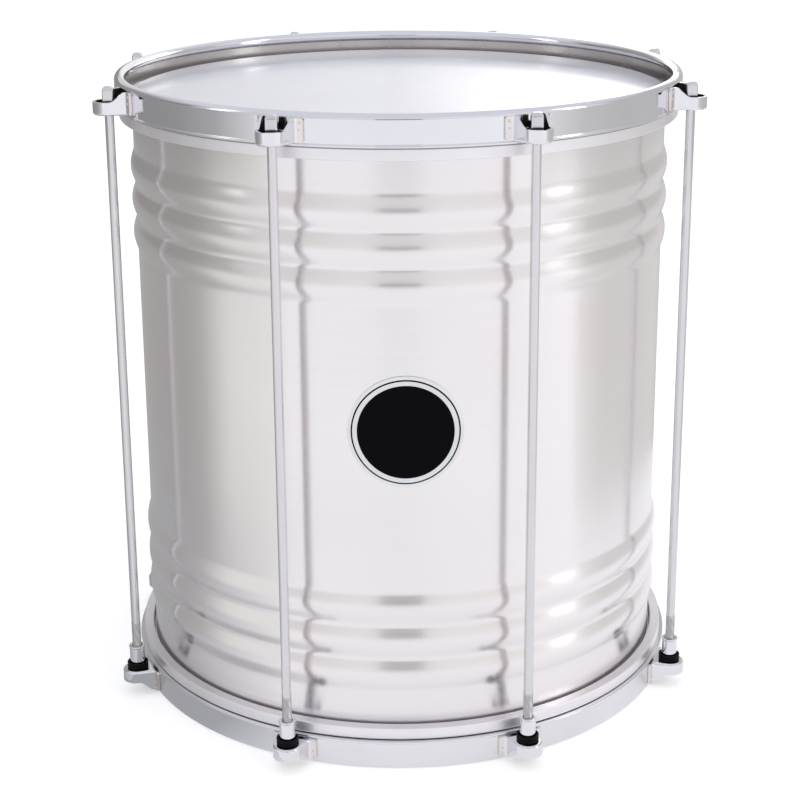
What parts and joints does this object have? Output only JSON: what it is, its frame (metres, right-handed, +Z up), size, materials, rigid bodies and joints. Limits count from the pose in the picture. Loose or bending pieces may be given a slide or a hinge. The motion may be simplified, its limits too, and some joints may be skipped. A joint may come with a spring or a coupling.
{
  "type": "repinique drum",
  "caption": "Two-headed samba drum: beaded aluminium shell, film heads, and rolled counterhoops drawn together by tension rods in pressed ears.",
  "frame": {"origin": "centre of the plane the drum stands on, under the middle of the resonant end", "axes": "+Z up along the drum's axis to the batter head, -Y towards the front with the badge, +X to the viewer's right"},
  "size_m": [0.3324, 0.3324, 0.36],
  "materials": {
    "brushed_aluminium": "satin",
    "milky_film": "milky white translucent film, glossy",
    "bright_aluminium": "bright",
    "chromed_steel": "mirror chrome",
    "plated_steel": "bright plated",
    "black_rubber": "matt black rubber",
    "badge_enamel": "glossy black with pale rings"
  },
  "bodies": {
    "shell": {"shell": "brushed_aluminium", "badge": "badge_enamel", "batter_head": "milky_film", "resonant_head": "milky_film"},
    "top_end": {"top_counterhoop": "chromed_steel", "batter_flesh_hoop": "bright_aluminium", "top_ear_1": "chromed_steel", "top_ear_2": "chromed_steel", "top_ear_3": "chromed_steel", "top_ear_4": "chromed_steel", "top_ear_5": "chromed_steel", "top_ear_6": "chromed_steel", "top_ear_7": "chromed_steel", "top_ear_8": "chromed_steel", "rod_washer_1": "plated_steel", "rod_washer_2": "plated_steel", "rod_washer_3": "plated_steel", "rod_washer_4": "plated_steel", "rod_washer_5": "plated_steel", "rod_washer_6": "plated_steel", "rod_washer_7": "plated_steel", "rod_washer_8": "plated_steel"},
    "bottom_end": {"bottom_counterhoop": "chromed_steel", "resonant_flesh_hoop": "bright_aluminium", "bottom_ear_1": "chromed_steel", "bottom_ear_2": "chromed_steel", "bottom_ear_3": "chromed_steel", "bottom_ear_4": "chromed_steel", "bottom_ear_5": "chromed_steel", "bottom_ear_6": "chromed_steel", "bottom_ear_7": "chromed_steel", "bottom_ear_8": "chromed_steel", "barrel_nut_1": "chromed_steel", "barrel_nut_2": "chromed_steel", "barrel_nut_3": "chromed_steel", "barrel_nut_4": "chromed_steel", "barrel_nut_5": "chromed_steel", "barrel_nut_6": "chromed_steel", "barrel_nut_7": "chromed_steel", "barrel_nut_8": "chromed_steel", "rubber_ring_1": "black_rubber", "rubber_ring_2": "black_rubber", "rubber_ring_3": "black_rubber", "rubber_ring_4": "black_rubber", "rubber_ring_5": "black_rubber", "rubber_ring_6": "black_rubber", "rubber_ring_7": "black_rubber", "rubber_ring_8": "black_rubber"},
    "rod_1": {"tension_rod_1": "plated_steel"},
    "rod_2": {"tension_rod_2": "plated_steel"},
    "rod_3": {"tension_rod_3": "plated_steel"},
    "rod_4": {"tension_rod_4": "plated_steel"},
    "rod_5": {"tension_rod_5": "plated_steel"},
    "rod_6": {"tension_rod_6": "plated_steel"},
    "rod_7": {"tension_rod_7": "plated_steel"},
    "rod_8": {"tension_rod_8": "plated_steel"}
  },
  "joints": [
    {"name": "rod_1_turn", "type": "hinge", "parent": "top_end", "child": "rod_1", "pos_m": [0.06525, -0.15752, 0.18], "axis": [0, 0, -1], "range_deg": [-720, 360]},
    {"name": "rod_2_turn", "type": "hinge", "parent": "top_end", "child": "rod_2", "pos_m": [0.15752, -0.06525, 0.18], "axis": [0, 0, -1], "range_deg": [-720, 360]},
    {"name": "rod_3_turn", "type": "hinge", "parent": "top_end", "child": "rod_3", "pos_m": [0.15752, 0.06525, 0.18], "axis": [0, 0, -1], "range_deg": [-720, 360]},
    {"name": "rod_4_turn", "type": "hinge", "parent": "top_end", "child": "rod_4", "pos_m": [0.06525, 0.15752, 0.18], "axis": [0, 0, -1], "range_deg": [-720, 360]},
    {"name": "rod_5_turn", "type": "hinge", "parent": "top_end", "child": "rod_5", "pos_m": [-0.06525, 0.15752, 0.18], "axis": [0, 0, -1], "range_deg": [-720, 360]},
    {"name": "rod_6_turn", "type": "hinge", "parent": "top_end", "child": "rod_6", "pos_m": [-0.15752, 0.06525, 0.18], "axis": [0, 0, -1], "range_deg": [-720, 360]},
    {"name": "rod_7_turn", "type": "hinge", "parent": "top_end", "child": "rod_7", "pos_m": [-0.15752, -0.06525, 0.18], "axis": [0, 0, -1], "range_deg": [-720, 360]},
    {"name": "rod_8_turn", "type": "hinge", "parent": "top_end", "child": "rod_8", "pos_m": [-0.06525, -0.15752, 0.18], "axis": [0, 0, -1], "range_deg": [-720, 360]},
    {"name": "top_hoop_draw", "type": "slide", "parent": "shell", "child": "top_end", "axis": [0, 0, -1], "range_m": [-0.001, 0.0005]},
    {"name": "bottom_hoop_draw", "type": "slide", "parent": "shell", "child": "bottom_end", "axis": [0, 0, 1], "range_m": [-0.001, 0.0005]}
  ],
  "couplings": [
    {"joint": "rod_2_turn", "follows": "top_hoop_draw", "rad_per_m": 12560},
    {"joint": "rod_3_turn", "follows": "top_hoop_draw", "rad_per_m": 12560},
    {"joint": "rod_4_turn", "follows": "top_hoop_draw", "rad_per_m": 12560},
    {"joint": "rod_5_turn", "follows": "top_hoop_draw", "rad_per_m": 12560},
    {"joint": "rod_6_turn", "follows": "top_hoop_draw", "rad_per_m": 12560},
    {"joint": "rod_7_turn", "follows": "top_hoop_draw", "rad_per_m": 12560},
    {"joint": "rod_8_turn", "follows": "top_hoop_draw", "rad_per_m": 12560},
    {"joint": "rod_1_turn", "follows": "top_hoop_draw", "rad_per_m": 12560},
    {"joint": "bottom_hoop_draw", "follows": "top_hoop_draw", "ratio": 1}
  ]
}
